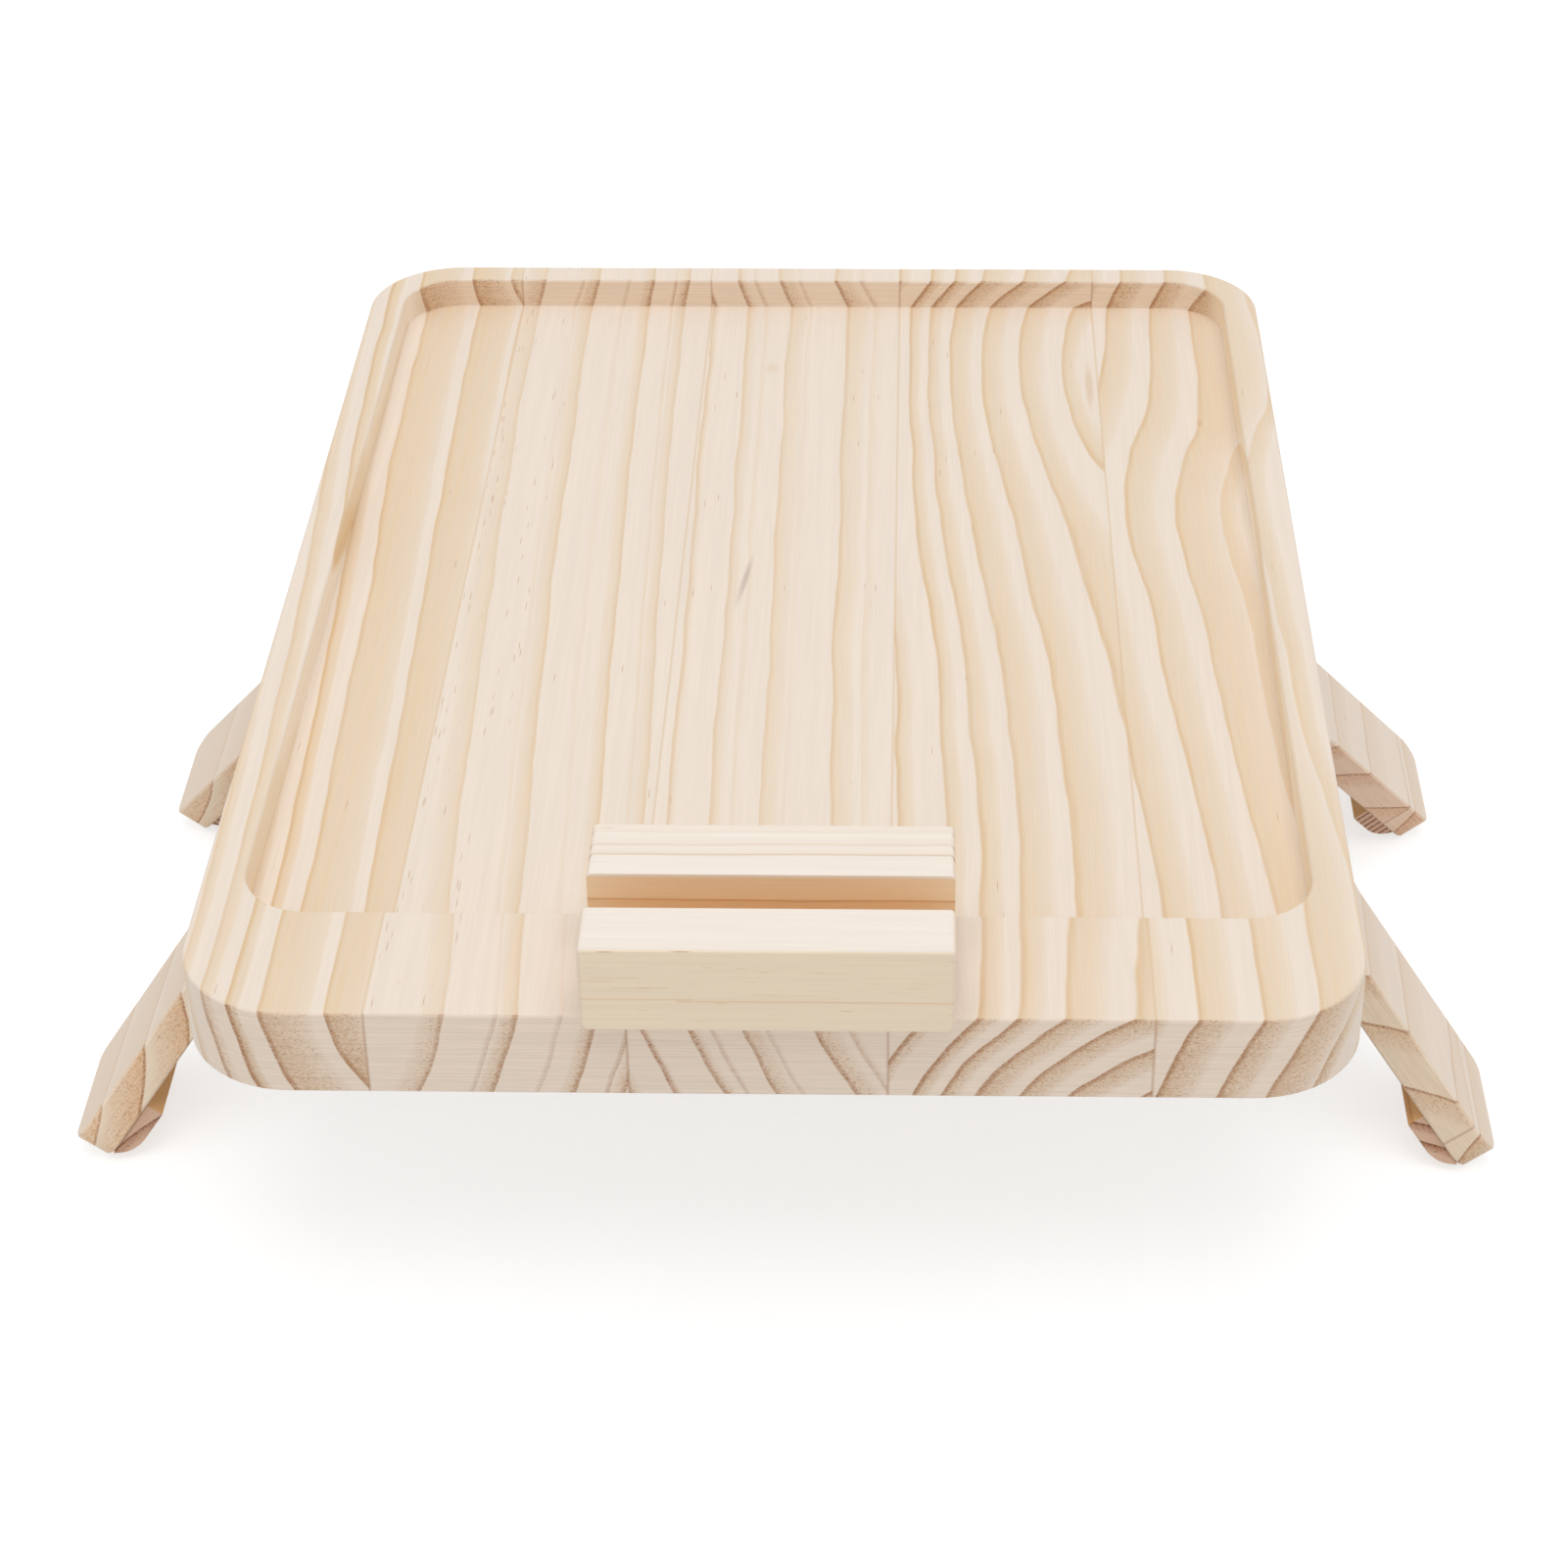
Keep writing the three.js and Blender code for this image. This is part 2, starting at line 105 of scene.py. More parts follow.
class Graph:
    """A node tree, built by short calls that return output sockets."""

    def __init__(self, tree):
        self.tree = tree
        self.tree.nodes.clear()

    def node(self, kind, inputs=(), **settings):
        made = self.tree.nodes.new(kind)
        for key, value in settings.items():
            setattr(made, key, value)
        for key, value in dict(inputs).items():
            self.put(value, made.inputs[key])
        return made

    def put(self, value, socket):
        if isinstance(value, bpy.types.NodeSocket):
            self.tree.links.new(value, socket)
        else:
            socket.default_value = value

    def math(self, operation, *values, clamp=False):
        made = self.node("ShaderNodeMath", operation=operation, use_clamp=clamp)
        for i, value in enumerate(values):
            self.put(value, made.inputs[i])
        return made.outputs[0]

    def vector(self, operation, *values):
        made = self.node("ShaderNodeVectorMath", operation=operation)
        for i, value in enumerate(values):
            self.put(value, made.inputs[i])
        return made.outputs["Value" if operation in ("LENGTH", "DOT_PRODUCT") else "Vector"]

    def split(self, vector):
        return self.node("ShaderNodeSeparateXYZ", {"Vector": vector}).outputs

    def join(self, x, y, z):
        return self.node("ShaderNodeCombineXYZ", {"X": x, "Y": y, "Z": z}).outputs[0]

    def noise(self, vector, scales, detail=2.0, roughness=0.5):
        """Noise from 0 to 1, with its own scale along each axis."""
        inputs = {"Vector": self.vector("MULTIPLY", vector, scales), "Scale": 1.0,
                  "Detail": detail, "Roughness": roughness}
        return self.node("ShaderNodeTexNoise", inputs).outputs["Fac"]

    def mix(self, factor, a, b):
        """Colour a where the factor is 0, and b where it is 1."""
        made = self.node("ShaderNodeMix", data_type="RGBA")
        self.put(factor, made.inputs[0])
        # The node has sockets for each kind of value. Those of colours have these places.
        self.put(a, made.inputs[6])
        self.put(b, made.inputs[7])
        return made.outputs[2]

    def shade(self, colour, level):
        """A colour made lighter or darker."""
        return self.vector("MULTIPLY", colour, self.join(level, level, level))

    def between(self, value, low, high, to_low=0.0, to_high=1.0, kind="SMOOTHSTEP", clamp=True):
        """A value that goes from low to high, made to go from to_low to to_high."""
        made = self.node("ShaderNodeMapRange", interpolation_type=kind, clamp=clamp)
        for i, v in enumerate((value, low, high, to_low, to_high)):
            self.put(v, made.inputs[i])
        return made.outputs[0]

    def curve(self, value, points):
        """A smooth curve through points whose both places go from 0 to 1."""
        made = self.node("ShaderNodeFloatCurve", {"Value": value})
        line = made.mapping.curves[0]
        for i, (x, y) in enumerate(points):
            if i < 2:
                line.points[i].location = (x, y)
            else:
                line.points.new(x, y)
        made.mapping.update()
        return made.outputs[0]

    def ramp(self, value, stops):
        """A grey ramp through stops of (place, level), both from 0 to 1."""
        made = self.node("ShaderNodeValToRGB", {"Fac": value})
        elements = made.color_ramp.elements
        for i, (place, level) in enumerate(stops):
            stop = elements[i] if i < 2 else elements.new(place)
            stop.position = place
            stop.color = grey(level)
        return made.outputs[0]

    def surface(self, colour, roughness, normal, metallic=0.0, specular=0.5):
        shader = self.node("ShaderNodeBsdfPrincipled", {
            "Base Color": colour, "Roughness": roughness, "Normal": normal, "Metallic": metallic,
            "Specular IOR Level": specular,
        })
        output = self.node("ShaderNodeOutputMaterial")
        self.tree.links.new(shader.outputs[0], output.inputs["Surface"])


def new_material(name):
    material = bpy.data.materials.new(name)
    material.use_nodes = True
    return material, Graph(material.node_tree)


def to_board(origin, rotation=Euler((0, 0, 0))):
    """The mapping from the object's metres to a board's own millimetres, grain along Y."""
    inverse = rotation.to_matrix().inverted()
    place = -(inverse @ (Vector(origin) * PER_METRE))
    return place, inverse.to_euler("XYZ")


# Every figure is that of a real log: rings round a pith at (across, up) from the board's origin.
# A ring is (distance of its sharp dark edge from the pith, width of the tan band inside it, depth
# of that band, depth of the edge's line), the last two from 0 to 1, the others in millimetres.
# A drift is how far the rings lie across at places along the board. It is one list of
# (along, across), or two, each with the place across the board at which it holds.
RING_EDGE = 0.3
WIDE_LINE = 1.5
THIN_LINE = 0.8
JOINED_GAP = 2.0
DRIFT_REACH = 30.0
BOARD_REACH = 210.0
RAMP_MARGIN = 1.0
RIPPLE_REACH = 8.0
SEAM_CORE = 0.1
SEAM_REACH = 0.6
SEAM_DEPTH = 0.4
MASK_FADE = 0.3
DASH_SHARE = 0.006
DASH_DEPTH = 0.8
DASH_TONE = srgb(202, 166, 134)
GREY_FLECK = srgb(206, 190, 176)
BROWN_FLECK = srgb(214, 178, 136)

# Each set of tones is the pale wood, the tan band and the dark line.
FACE_TONES = (srgb(239, 225, 210), srgb(231, 206, 173), srgb(219, 184, 140))
END_TONES = (srgb(240, 222, 204), srgb(214, 182, 149), srgb(172, 123, 86))

# How finely each noise turns, per millimetre across, along and up.
RIPPLES = (0.05, 0.022, 0.05)
COARSE_FIBRES = (0.55, 0.010, 0.55)
FINE_FIBRES = (3.2, 0.045, 3.2)
SAW_MARKS = (0.03, 0.2, 3.4)
PORES = (1.3, 0.4, 2.4)
DASHES = (1.5, 0.085, 1.5)
SEED_STEPS = (1.0, 3.7, 1.9)

# A level of noise or distance (from, to) becomes a strength, shade or roughness (from, to), which
# goes from 0 to 1, or as the call says, where it is left out.
BROKEN_BANDS = (0.3, 0.7, 0.75, 1.15)
FIBRE_SHADES = (0.35, 0.65, 0.965, 1.025)
FIBRE_ROUGHNESS = (0.3, 0.7, 0.52, 0.64)
SAW_SHADES = (0.4, 0.6, 0.94, 1.052)
OPEN_PORES = (0.3, 0.7, 0.5, 1.35)
PIT_PORES = (0.58, 0.7, 0.0, 0.6)
PIT_BANDS = (0.01, 0.2)
DASH_FALL = (0.1, 0.3, 1.0, 0.0)
FLECK_FALL = (0.2, 1.1)
END_FACING = (0.45, 0.8)

# The powers to which bands and lines are raised: below 1 they widen, above 1 they narrow. The
# gain makes the bands of end grain stronger.
FACE_BAND_POWER = 0.5
FACE_LINE_POWER = 1.2
END_BAND_POWER = 0.7
END_BAND_GAIN = 1.25
END_LINE_POWER = 0.6

# The surface: how far the bands stand out beside the fibres, and how deep and glossy it all is.
BAND_RELIEF = 0.35
WOOD_BUMP = 0.12
WOOD_BUMP_HEIGHT = 0.0002
WOOD_SPECULAR = 0.25


def ring_ramp(g, radius, bands):
    """0 between the bands, and rising to each band's depth at its sharp outer edge.

    A ramp holds 32 stops, three to a ring, so a board has ten rings at most."""
    low = bands[0][0] - bands[0][1] - RAMP_MARGIN
    high = bands[-1][0] + RAMP_MARGIN
    stops = []
    last = low
    for edge, width, depth in bands:
        start = max(edge - width, last)
        stops += [(start, 0.0), (edge - RING_EDGE, depth), (edge, 0.0)]
        last = edge + RING_EDGE
    shares = [((place - low) / (high - low), level) for place, level in stops]
    return g.ramp(g.between(radius, low, high, kind="LINEAR"), shares)


def drifted(g, x, y, drift):
    """How far across the rings lie at each point."""
    along = g.between(y, -BOARD_REACH, BOARD_REACH, kind="LINEAR")
    amounts = []
    for place, points in drift:
        shares = [((to + BOARD_REACH) / (2 * BOARD_REACH), 0.5 + by / (2 * DRIFT_REACH))
                  for to, by in points]
        moved = g.curve(along, shares)
        amounts.append(g.math("MULTIPLY_ADD", moved, 2 * DRIFT_REACH, -DRIFT_REACH))
    if len(amounts) == 1:
        return amounts[0]
    places = [place for place, points in drift]
    return g.between(x, *places, *amounts, kind="LINEAR", clamp=False)


def heap(g, x, y, middle, reach):
    """1 at a point, falling off as a bell in both directions."""
    across = g.math("DIVIDE", g.math("SUBTRACT", x, middle[0]), reach[0])
    along = g.math("DIVIDE", g.math("SUBTRACT", y, middle[1]), reach[1])
    spread = g.vector("LENGTH", g.join(across, along, 0.0))
    return g.math("EXPONENT", g.math("MULTIPLY", g.math("MULTIPLY", spread, spread), -0.5))


def grown(g, point, bends, pith, drift, swell):
    """The distance from the pith, bent as the log grew.

    A swell (middle, reach, amount) pushes the rings out from the pith round a place."""
    x, y, z = g.split(point)
    across = g.math("SUBTRACT", x, pith[0])
    if drift:
        across = g.math("SUBTRACT", across, drifted(g, x, y, drift))
    up = g.math("SUBTRACT", z, pith[1])
    radius = g.vector("LENGTH", g.join(across, up, 0.0))
    if swell:
        middle, reach, amount = swell
        radius = g.math("MULTIPLY_ADD", heap(g, x, y, middle, reach), -amount, radius)
    return g.math("ADD", radius, bends)


def seam_mark(g, x, seams):
    """A thin dark line where a board is glued to its neighbours."""
    distance = SEAM_REACH
    for side in seams:
        to_side = g.math("ABSOLUTE", g.math("SUBTRACT", x, side))
        distance = g.math("MINIMUM", distance, to_side)
    return g.between(distance, SEAM_CORE, SEAM_REACH, SEAM_DEPTH, 0.0)


def dash_mark(g, x, shifted, zones):
    """Short dark resin canals: few anywhere, and more in each (from, to, share) across a board."""
    share = DASH_SHARE
    for low, high, more in zones:
        share = g.math("MULTIPLY_ADD", inside_of(g, x, low, high), more, share)
    cells = g.node("ShaderNodeTexVoronoi", {
        "Vector": g.vector("MULTIPLY", shifted, DASHES), "Scale": 1.0,
    })
    pick = g.split(cells.outputs["Color"])[0]
    chosen = g.math("LESS_THAN", pick, share)
    mark = g.math("MULTIPLY", g.between(cells.outputs["Distance"], *DASH_FALL), chosen)
    return g.math("MULTIPLY", mark, DASH_DEPTH)


def inside_of(g, value, low, high, fade=MASK_FADE):
    """1 between two places and 0 beyond them, with soft ends."""
    rising = g.between(value, low - fade, low + fade)
    falling = g.between(value, high - fade, high + fade, 1.0, 0.0)
    return g.math("MULTIPLY", rising, falling)


def tinted(g, colour, point, boxes):
    """The colour, multiplied by a tint inside each (low corner, high corner, tint, fade).

    The fade is how softly the tint ends along the board, and may be left out."""
    x, y, z = g.split(point)
    for low, high, tint, *fades in boxes:
        across = inside_of(g, x, low[0], high[0])
        along = inside_of(g, y, low[1], high[1], *fades)
        up = inside_of(g, z, low[2], high[2])
        inside = g.math("MULTIPLY", g.math("MULTIPLY", across, along), up)
        colour = g.mix(inside, colour, g.vector("MULTIPLY", colour, tint))
    return colour


def join_on(g, x, point, bends, radius, rings, joined):
    """Rings of a second board from a place across on, moved past the first board's distances."""
    side, pith, more = joined
    gap = max(ring[0] for ring in rings) - min(ring[0] - ring[1] for ring in more) + JOINED_GAP
    beyond = g.math("GREATER_THAN", x, side)
    moved = g.math("ADD", grown(g, point, bends, pith, (), None), gap)
    step = g.math("MULTIPLY", g.math("SUBTRACT", moved, radius), beyond)
    return g.math("ADD", radius, step), rings + [(ring[0] + gap, *ring[1:]) for ring in more]


def fleck_mark(g, x, y, fleck):
    """A slanted spot with soft edges, left by a twig or resin."""
    across, along, half_width, half_length, slant, depth = fleck
    off = g.math("SUBTRACT", x, across)
    on = g.math("SUBTRACT", y, along)
    off = g.math("DIVIDE", g.math("MULTIPLY_ADD", on, -slant, off), half_width)
    spread = g.vector("LENGTH", g.join(off, g.math("DIVIDE", on, half_length), 0.0))
    return g.between(spread, *FLECK_FALL, depth, 0.0)


def face_wood(g, point, shifted, wood, tones, band_power, dashed, flecks):
    """The long faces: bands and lines broken by the fibres, resin canals and flecks."""
    band, line, fibre, broken = wood
    x, y, _ = g.split(point)
    tan = g.math("MULTIPLY", g.math("POWER", band, band_power), broken, clamp=True)
    dark = g.math("MULTIPLY", g.math("POWER", line, FACE_LINE_POWER), broken, clamp=True)
    colour = g.mix(dark, g.mix(tan, tones[0], tones[1]), tones[2])
    colour = g.shade(colour, g.between(fibre, *FIBRE_SHADES))
    colour = g.mix(dash_mark(g, x, shifted, dashed), colour, DASH_TONE)
    for *fleck, tone in flecks:
        colour = g.mix(g.math("MULTIPLY", fleck_mark(g, x, y, fleck), broken), colour, tone)
    return colour


def end_wood(g, point, shifted, band, line, tones, painted_end_shade):
    """Sawn end grain: darker rings, pits beside them and fine marks across the face."""
    sawn = g.noise(shifted, SAW_MARKS, detail=4.0, roughness=0.75)
    pores = g.noise(shifted, PORES, roughness=0.75)
    open_pores = g.between(pores, *OPEN_PORES)
    deep = g.math("MULTIPLY", g.math("POWER", band, END_BAND_POWER), END_BAND_GAIN)
    tan = g.math("MULTIPLY", deep, open_pores, clamp=True)
    dark = g.math("MULTIPLY", g.math("POWER", line, END_LINE_POWER), open_pores, clamp=True)
    colour = g.mix(dark, g.mix(tan, tones[0], tones[1]), tones[2])
    pits = g.math("MULTIPLY", g.between(pores, *PIT_PORES), g.between(band, *PIT_BANDS))
    colour = g.mix(pits, colour, tones[2])
    colour = g.shade(colour, g.between(sawn, *SAW_SHADES))
    # Painted shade on the end faces inside the given boxes.
    return tinted(g, colour, point, painted_end_shade)


def board(name, mapping, pith, rings, drift=(), swell=None, ripple=0.35, end_axis="Y",
          face=FACE_TONES, end=END_TONES, band_power=FACE_BAND_POWER, line_width=WIDE_LINE,
          joined=None, dashed=(), flecks=(), seams=(), tones_and_painted_light=(), painted_end_shade=(), seed=0.0):
    """Solid wood whose faces, edges and ends all cut the same rings.

    Seams and dashed zones are places across the board. Boxes of wood tone and of painted light and
    shade tint faces and ends alike, and boxes of painted shade tint the ends alone. The seed moves
    the noises, so that no two boards are the same."""
    material, g = new_material(name)
    coords = g.node("ShaderNodeTexCoord")
    place, turn = mapping
    point = g.node("ShaderNodeMapping", {
        "Vector": coords.outputs["Object"], "Location": place, "Rotation": turn,
        "Scale": (PER_METRE, PER_METRE, PER_METRE),
    }).outputs[0]
    x = g.split(point)[0]
    shifted = g.vector("ADD", point, tuple(seed * step for step in SEED_STEPS))
    bends = g.math("SUBTRACT", g.noise(shifted, RIPPLES), 0.5)
    bends = g.math("MULTIPLY", bends, ripple * RIPPLE_REACH)
    radius = grown(g, point, bends, pith, drift, swell)
    if joined:
        radius, rings = join_on(g, x, point, bends, radius, rings, joined)
    rings = sorted(rings)
    band = ring_ramp(g, radius, [(edge, width, tan) for edge, width, tan, dark in rings])
    line = ring_ramp(g, radius, [(edge, line_width, dark) for edge, width, tan, dark in rings])

    coarse = g.noise(shifted, COARSE_FIBRES, detail=3.0, roughness=0.6)
    fibre = g.math("MULTIPLY", g.math("ADD", coarse, g.noise(shifted, FINE_FIBRES)), 0.5)
    wood = band, line, fibre, g.between(coarse, *BROKEN_BANDS)
    face_colour = face_wood(g, point, shifted, wood, face, band_power, dashed, flecks)
    end_colour = end_wood(g, point, shifted, band, line, end, painted_end_shade)
    facing = g.split(coords.outputs["Normal"])["XYZ".index(end_axis)]
    is_end = g.between(g.math("ABSOLUTE", facing), *END_FACING)
    colour = g.mix(is_end, face_colour, end_colour)
    if seams:
        dark = g.mix(is_end, face[2], end[2])
        colour = g.mix(seam_mark(g, x, seams), colour, dark)
    # Boxes of wood tone and of painted light and shade, on faces and ends alike.
    colour = tinted(g, colour, point, tones_and_painted_light)

    relief = g.math("ADD", g.math("MULTIPLY", band, BAND_RELIEF), fibre)
    bump = g.node("ShaderNodeBump", {
        "Height": relief, "Strength": WOOD_BUMP, "Distance": WOOD_BUMP_HEIGHT})
    roughness = g.between(fibre, *FIBRE_ROUGHNESS)
    g.surface(colour, roughness, bump.outputs[0], specular=WOOD_SPECULAR)
    return material


ZINC_SPOTS = (0.5, 0.5, 0.5)
ZINC_BRUSH = (6.0, 0.4, 6.0)
ZINC_SHADES = (0.35, 0.65)
ZINC_DULL = srgb(196, 198, 200)
ZINC_BRIGHT = srgb(222, 222, 220)
ZINC_ROUGHNESS = (0.3, 0.7, 0.24, 0.38)
BRUSH_ROUGHNESS = 0.08
BRUSH_BUMP = 0.08
BRUSH_HEIGHT = 0.0001


def zinc():
    """Bright zinc plated steel with a faint brushed grain and small dull spots."""
    material, g = new_material("zinc_steel")
    coords = g.node("ShaderNodeTexCoord")
    scale = (PER_METRE, PER_METRE, PER_METRE)
    point = g.vector("MULTIPLY", coords.outputs["Object"], scale)
    spots = g.noise(point, ZINC_SPOTS, detail=3.0)
    brush = g.noise(point, ZINC_BRUSH)
    colour = g.mix(g.between(spots, *ZINC_SHADES), ZINC_DULL, ZINC_BRIGHT)
    dull = g.between(spots, *ZINC_ROUGHNESS)
    roughness = g.math("MULTIPLY_ADD", brush, BRUSH_ROUGHNESS, dull)
    bump = g.node("ShaderNodeBump", {
        "Height": brush, "Strength": BRUSH_BUMP, "Distance": BRUSH_HEIGHT})
    g.surface(colour, roughness, bump.outputs[0], metallic=1.0)
    return material


TRAY = to_board(TRAY_ORIGIN)
# The tray's five staves, from left to right.
STAVES = {
    "tray_stave_1": dict(
        pith=(-64.3, 3.9),
        rings=[(33.0, 4.0, 0.4, 0.3), (45.5, 11.0, 0.85, 0.6), (61.5, 13.0, 0.7, 0.7),
               (69.5, 3.5, 0.95, 0.9), (77.0, 4.0, 0.35, 0.5), (84.0, 3.0, 0.25, 0.35)],
        drift=[(-128, [(-210, -1), (-150, -0.9), (-90, -2.2), (-30, -3.6), (30, -5.8), (60, -7.1),
                       (90, -8), (150, -8.9), (200, -9.3)]),
               (-108, [(-210, -0.6), (-150, -1.2), (-90, -2.3), (-30, -3.2), (30, -5.1),
                       (90, -6.5), (200, -7.6)])],
        band_power=0.3, seed=3.1),
    "tray_stave_2": dict(
        pith=(-243, 43),
        rings=[(169.0, 6.5, 0.3, 0.35), (181.5, 1.6, 0.04, 0.12), (186.4, 6.5, 0.45, 0.4),
               (197.0, 1.6, 0.03, 0.1), (205.4, 4.0, 0.4, 0.5), (213.5, 1.3, 0.1, 0.2),
               (217.5, 4.0, 0.35, 0.4)],
        drift=[(0, [(-210, 0), (-180, -1.8), (-150, -3.8), (-90, -6), (-30, -8), (30, -9.8),
                    (90, -11), (200, -12.3)])],
        dashed=[(-100, -96.8, 0.7), (-93.8, -92.2, 0.35), (-86.0, -84.0, 0.4),
                (-81.0, -79.5, 0.35)], seed=11.3),
    "tray_stave_3": dict(
        pith=(170, 60),
        rings=[(147.0, 3.0, 0.2, 0.2), (163.6, 2.5, 0.1, 0.12), (171.2, 6.0, 0.35, 0.6),
               (182.7, 1.5, 0.04, 0.1), (188.3, 6.0, 0.3, 0.45), (195.6, 1.6, 0.08, 0.12),
               (200.8, 3.0, 0.35, 0.5), (211.6, 2.2, 0.2, 0.6), (222.0, 3.5, 0.3, 0.4)],
        drift=[(-33, [(-210, 0), (-90, -2.7), (0, -3.3), (60, -4.2), (200, -5)]),
               (12, [(-210, 0), (-90, -1.6), (0, -2.2), (200, -2.5)])],
        flecks=[(-16, 16, 1.3, 17, 0.125, 0.85, GREY_FLECK),
                (-13, 154, 3.0, 5.0, 0.0, 0.25, BROWN_FLECK)],
        dashed=[(14, 26, 0.05), (-35, -22, 0.04)], seed=23.9),
    "tray_stave_4": dict(
        pith=(123.7, -67),
        rings=[(45.0, 4.0, 0.8, 0.8), (52.7, 4.5, 0.8, 0.7), (64.7, 6.5, 0.75, 0.7),
               (75.0, 6.5, 0.75, 0.65), (84.2, 6.5, 0.75, 0.65), (91.7, 4.5, 0.7, 0.7),
               (98.3, 4.0, 0.7, 0.8), (108.6, 4.0, 0.5, 0.8)],
        drift=[(35, [(-210, 0), (-120, -0.4), (-60, -1.2), (-30, -2), (0, -3.9), (30, -7),
                     (60, -9.2), (90, -10), (150, -12), (200, -10.6)]),
               (75, [(-210, 0), (-150, 2.4), (-120, 2.8), (-60, 0.5), (0, -4.2), (60, -10.5),
                     (90, -15.5), (120, -20.5), (150, -23.5), (200, -17.6)])],
        swell=((98, 150), (12, 55), 12), dashed=[(40, 60, 0.03)],
        flecks=[(92.5, 142, 1.8, 20, 0.0, 0.5, BROWN_FLECK)], seed=37.7),
    "tray_stave_5": dict(
        pith=(257, -74),
        rings=[(112.0, 6.0, 0.5, 0.4), (121.0, 6.0, 0.5, 0.3), (131.0, 4.0, 0.7, 0.15),
               (142.0, 13.0, 0.8, 0.6), (154.4, 8.0, 0.75, 0.75), (168.1, 8.5, 0.8, 0.8),
               (180.0, 6.0, 0.6, 0.6)],
        drift=[(108, [(-210, 0), (-150, -1), (-90, -5), (-30, -9.4), (0, -11), (30, -13.8),
                      (60, -15.2), (90, -12.7), (120, -7.4), (150, -4), (200, -1)]),
               (130, [(-210, 0), (-150, -0.6), (-90, -5.1), (-30, -8.1), (0, -9.3), (60, -12.1),
                      (90, -8.7), (120, -3.2), (200, -2)])],
        flecks=[(127.5, 117, 1.2, 3.0, 0.0, 0.6, BROWN_FLECK)], seed=51.1),
}


# How each kind of piece is rounded: the radius in millimetres, and the angles in degrees between
# which an edge is rounded. The first two leave out square edges, where pieces meet.
STAVE_EDGES = (0.3, 38, 52)
WING_EDGES = (0.3, 38, 50)
BLOCK_EDGES = (0.35, 38, 100)
HOLDER_EDGES = (0.25, 38, 100)
EDGE_SEGMENTS = 2
# Corners this near in millimetres are joined, faces this near in degrees are one plane, and edges
# with more than the last angle stay sharp.
SAME_PLACE = 0.002
SAME_PLANE = 0.5
SHARP_ANGLE = 33


def eased(node, edges):
    """A copy of a node with some edges rounded, which stands for the node."""
    radius, low_angle, high_angle = edges
    source = NODES[node]
    mesh = source.data.copy()
    mesh.name = node + "_eased"
    made = bmesh.new()
    made.from_mesh(mesh)
    bmesh.ops.remove_doubles(made, verts=made.verts, dist=SAME_PLACE * MM)
    bmesh.ops.dissolve_limit(
        made, angle_limit=math.radians(SAME_PLANE), verts=made.verts, edges=made.edges)
    chosen = [
        e for e in made.edges
        if len(e.link_faces) == 2 and e.is_convex
        and math.radians(low_angle) < e.calc_face_angle(0) < math.radians(high_angle)
    ]
    bmesh.ops.bevel(
        made, geom=chosen, offset=radius * MM, segments=EDGE_SEGMENTS, profile=0.5,
        affect="EDGES", clamp_overlap=True)
    made.to_mesh(mesh)
    made.free()
    # The imported normals belong to the shape before its edges were rounded.
    if "custom_normal" in mesh.attributes:
        mesh.attributes.remove(mesh.attributes["custom_normal"])
    mesh.shade_smooth()
    mesh.set_sharp_from_angle(angle=math.radians(SHARP_ANGLE))
    piece = bpy.data.objects.new(node + "_wood", mesh)
    bpy.context.scene.collection.objects.link(piece)
    weighted = piece.modifiers.new("flat faces stay flat", "WEIGHTED_NORMAL")
    weighted.keep_sharp = True
    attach(piece, source["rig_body"])
    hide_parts(node)
    return piece


def dress(piece, material):
    piece.data.materials.clear()
    piece.data.materials.append(material)


def slot_of(node):
    return next(s["material_slot"] for s in RECORD["subparts"] if s["node"] == node)


def seams_of(node):
    """The glued faces of a stave: two, or one where the tray ends."""
    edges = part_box("tray_stave_1")[0].x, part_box("tray_stave_5")[1].x
    return [corner.x * PER_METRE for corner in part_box(node) if corner.x not in edges]


# The recess's walls, in the tray's frame, with painted light: the end wall, which cuts the grain,
# is a little browner as painted warm bounce light from the recess floor, and the side walls are
# brighter, which makes up for the grazing light on them.
END_WALL_BOUNCE = ((-144, 190, -9.4), (144, 206, -1), (0.985, 0.94, 0.88), 4.0)
LEFT_WALL = ((-140, -163, -9.6), (-130, 190, -0.65), (1.12, 1.12, 1.07), 4.0)
RIGHT_WALL = ((130, -163, -9.6), (140, 190, -0.65), (1.12, 1.12, 1.07), 4.0)
PAINTED_WALL_LIGHT = [END_WALL_BOUNCE, LEFT_WALL, RIGHT_WALL]


def stave_pieces():
    for node, figure in STAVES.items():
        piece = eased(node, STAVE_EDGES)
        wood = board(node + "_pine", TRAY, seams=seams_of(node), tones_and_painted_light=PAINTED_WALL_LIGHT, **figure)
        dress(piece, wood)


SPLAY = math.radians(52)
WING_FACE = (srgb(236, 220, 204), srgb(229, 207, 184), srgb(212, 176, 142))
WING_END = (srgb(236, 215, 190), srgb(214, 176, 140), srgb(164, 114, 80))
LEFT_END = (srgb(247, 228, 204), srgb(230, 186, 143), srgb(174, 118, 80))
# The grip blocks sit in shadow under the legs: their tones are their own pine with painted shade,
# darker and more orange and red as with warm bounce light.
GRIP_SHADED_FACE = (srgb(240, 192, 136), srgb(230, 174, 114), srgb(200, 140, 86))
GRIP_SHADED_END = (srgb(222, 186, 160), srgb(182, 130, 100), srgb(122, 74, 50))
# The cut-out's edges are routed. Their end faces are painted redder and a little darker, as
# painted shade with warm bounce light in the cut-out.
CUTOUT_SHADE = ((30, -62, 0), (91, 62, 14.5), (1.05, 0.94, 0.92))

